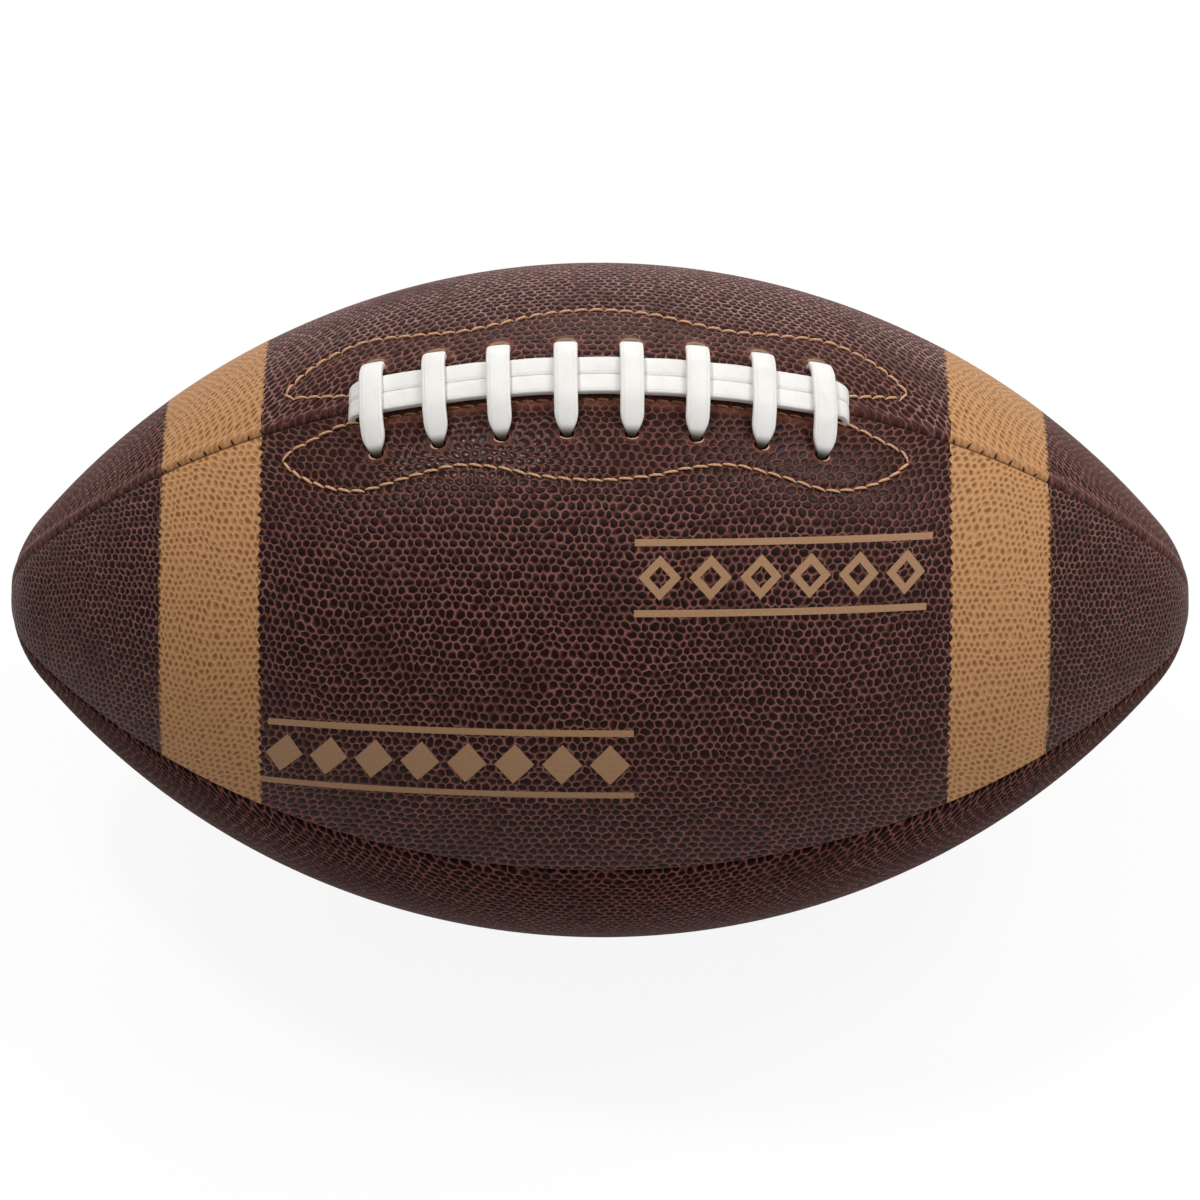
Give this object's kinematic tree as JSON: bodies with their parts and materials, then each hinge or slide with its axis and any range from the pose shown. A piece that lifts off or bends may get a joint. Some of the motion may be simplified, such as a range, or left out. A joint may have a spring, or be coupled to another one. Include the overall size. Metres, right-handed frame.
{
  "type": "american football",
  "caption": "Inflated ball with pointed ends: sewn leather panels with pale stripes over cloth linings and a rubber bladder, closed by a laced opening, with a needle valve.",
  "frame": {"origin": "centre of the ball, on its long axis midway between the tips", "axes": "+X along the long axis, +Z out through the laces, +Y towards the rear panels"},
  "size_m": [0.2878, 0.165, 0.1695],
  "materials": {
    "cover_leather": "pebbled",
    "stripe_leather": "pebbled",
    "lace_strap": "satin",
    "facing_thread": "matte",
    "seam_thread": "matte",
    "lining_cloth": "matte",
    "facing_leather": "matte",
    "guard_sheet": "matte",
    "bladder_rubber": "matte",
    "valve_rubber": "matte"
  },
  "bodies": {
    "root": {"panel_upper_front": "cover_leather", "lining_upper_front": "lining_cloth", "panel_upper_rear": "cover_leather", "lining_upper_rear": "lining_cloth", "panel_lower_front": "cover_leather", "lining_lower_front": "lining_cloth", "panel_lower_rear": "cover_leather", "lining_lower_rear": "lining_cloth", "stripe_front_left": "stripe_leather", "stripe_front_right": "stripe_leather", "lace_facing_front": "facing_leather", "facing_thread_front": "facing_thread", "stripe_rear_left": "stripe_leather", "stripe_rear_right": "stripe_leather", "lace_facing_rear": "facing_leather", "facing_thread_rear": "facing_thread", "lace": "lace_strap", "lace_guard": "guard_sheet", "bladder": "bladder_rubber", "valve_body": "valve_rubber", "valve_core": "valve_rubber", "seam_thread_top_left": "seam_thread", "seam_thread_top_right": "seam_thread", "seam_thread_front": "seam_thread", "seam_thread_rear": "seam_thread", "seam_thread_bottom": "seam_thread"}
  },
  "joints": []
}
